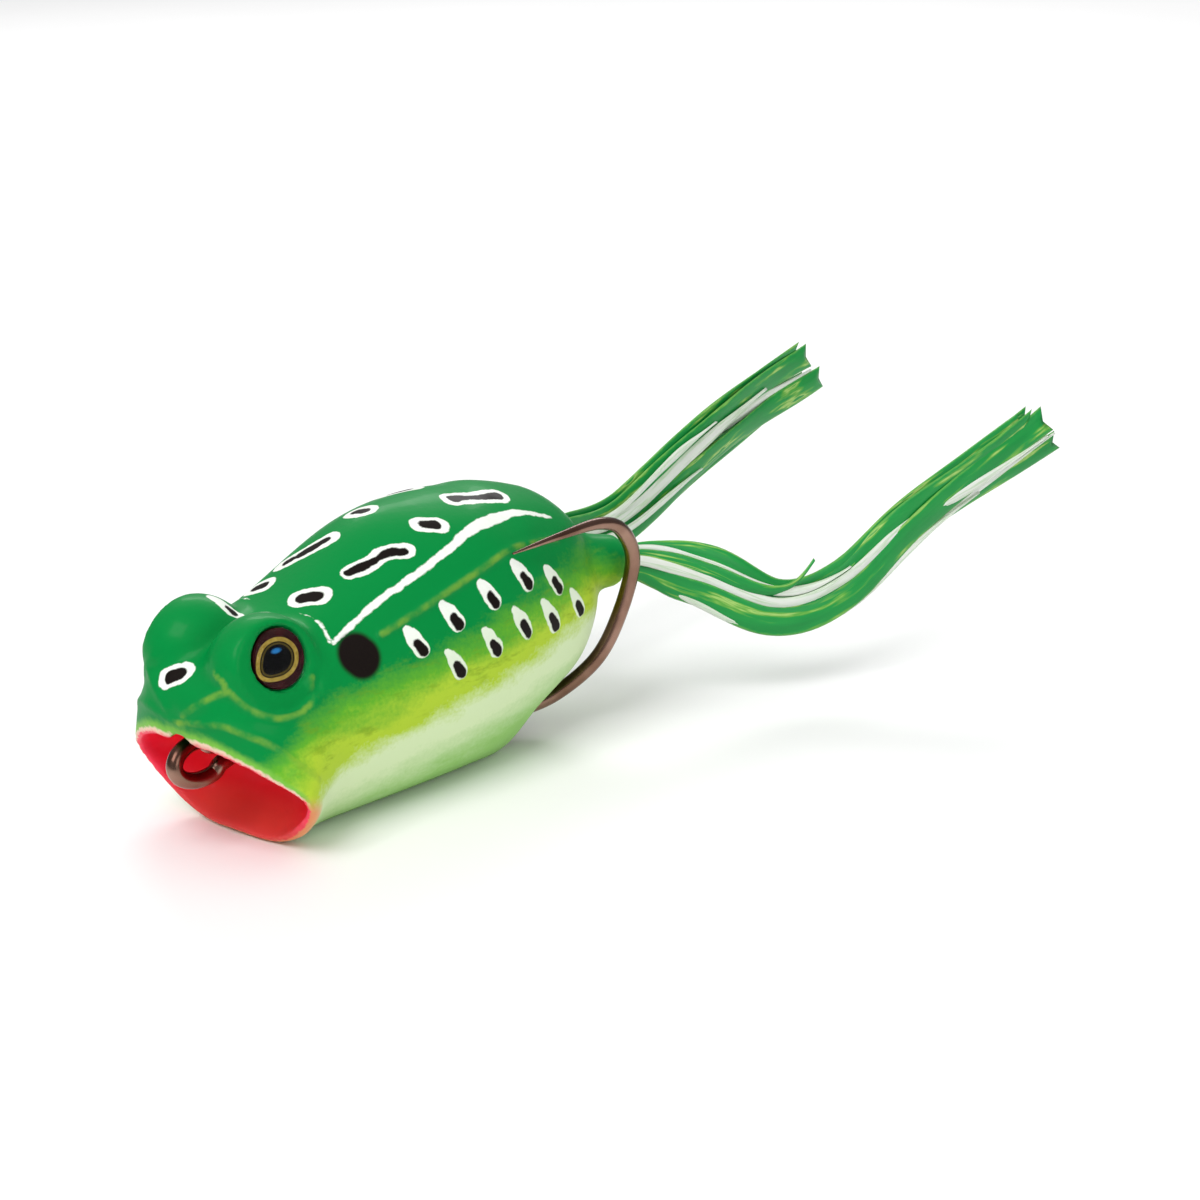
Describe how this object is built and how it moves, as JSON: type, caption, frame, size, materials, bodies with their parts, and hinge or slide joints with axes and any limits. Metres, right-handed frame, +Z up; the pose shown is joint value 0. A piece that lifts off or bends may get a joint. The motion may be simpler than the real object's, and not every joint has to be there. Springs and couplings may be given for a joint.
{
  "type": "topwater popper",
  "caption": "Hollow soft-bodied frog lure with a cupped popping mouth, a double hook that hugs its back and two trailing strand legs.",
  "frame": {"origin": "middle of the flat pad under the belly, in the plane of symmetry of the body", "axes": "+Y from the mouth towards the tail and legs, +X to the frog's left, +Z up through the back"},
  "size_m": [0.048, 0.1208, 0.0294],
  "materials": {
    "skin": "glossy soft plastic, green back fading to a pale belly, red mouth",
    "hook": "bright bronze plating",
    "lead": "dull cast lead",
    "iris": "dark printed foil with a gold ring",
    "resin": "clear domed resin",
    "thread": "waxed thread",
    "green_silicone": "satin silicone",
    "white_silicone": "satin silicone"
  },
  "bodies": {
    "body": {"body_shell": "skin", "left_eye_disc": "iris", "left_eye_dome": "resin", "right_eye_disc": "iris", "right_eye_dome": "resin"},
    "hook": {"double_hook": "hook", "belly_weight": "lead"},
    "left_tie": {"left_leg_tie": "thread"},
    "right_tie": {"right_leg_tie": "thread"},
    "left_leg": {"left_strand_1": "green_silicone", "left_strand_2": "green_silicone", "left_strand_3": "white_silicone", "left_strand_4": "green_silicone", "left_strand_5": "green_silicone", "left_strand_6": "white_silicone", "left_strand_7": "green_silicone"},
    "right_leg": {"right_strand_1": "green_silicone", "right_strand_2": "green_silicone", "right_strand_3": "white_silicone", "right_strand_4": "green_silicone", "right_strand_5": "green_silicone", "right_strand_6": "white_silicone", "right_strand_7": "green_silicone"}
  },
  "joints": [
    {"name": "hook_set", "type": "hinge", "parent": "body", "child": "hook", "pos_m": [0, -0.0215, 0.0093], "axis": [1, 0, 0], "range_deg": [0, 1.2], "stiffness_Nm_per_rad": 6},
    {"name": "left_leg_splay", "type": "hinge", "parent": "body", "child": "left_tie", "pos_m": [0.00628, 0.02797, 0.01745], "axis": [0, 0, 1], "range_deg": [-19, 19], "stiffness_Nm_per_rad": 0.01},
    {"name": "left_leg_kick", "type": "hinge", "parent": "left_tie", "child": "left_leg", "pos_m": [0.00628, 0.02797, 0.01745], "axis": [1, 0, 0], "range_deg": [-19, 19], "stiffness_Nm_per_rad": 0.01},
    {"name": "right_leg_splay", "type": "hinge", "parent": "body", "child": "right_tie", "pos_m": [-0.00628, 0.02797, 0.01745], "axis": [0, 0, 1], "range_deg": [-19, 19], "stiffness_Nm_per_rad": 0.01},
    {"name": "right_leg_kick", "type": "hinge", "parent": "right_tie", "child": "right_leg", "pos_m": [-0.00628, 0.02797, 0.01745], "axis": [1, 0, 0], "range_deg": [-19, 19], "stiffness_Nm_per_rad": 0.01}
  ]
}
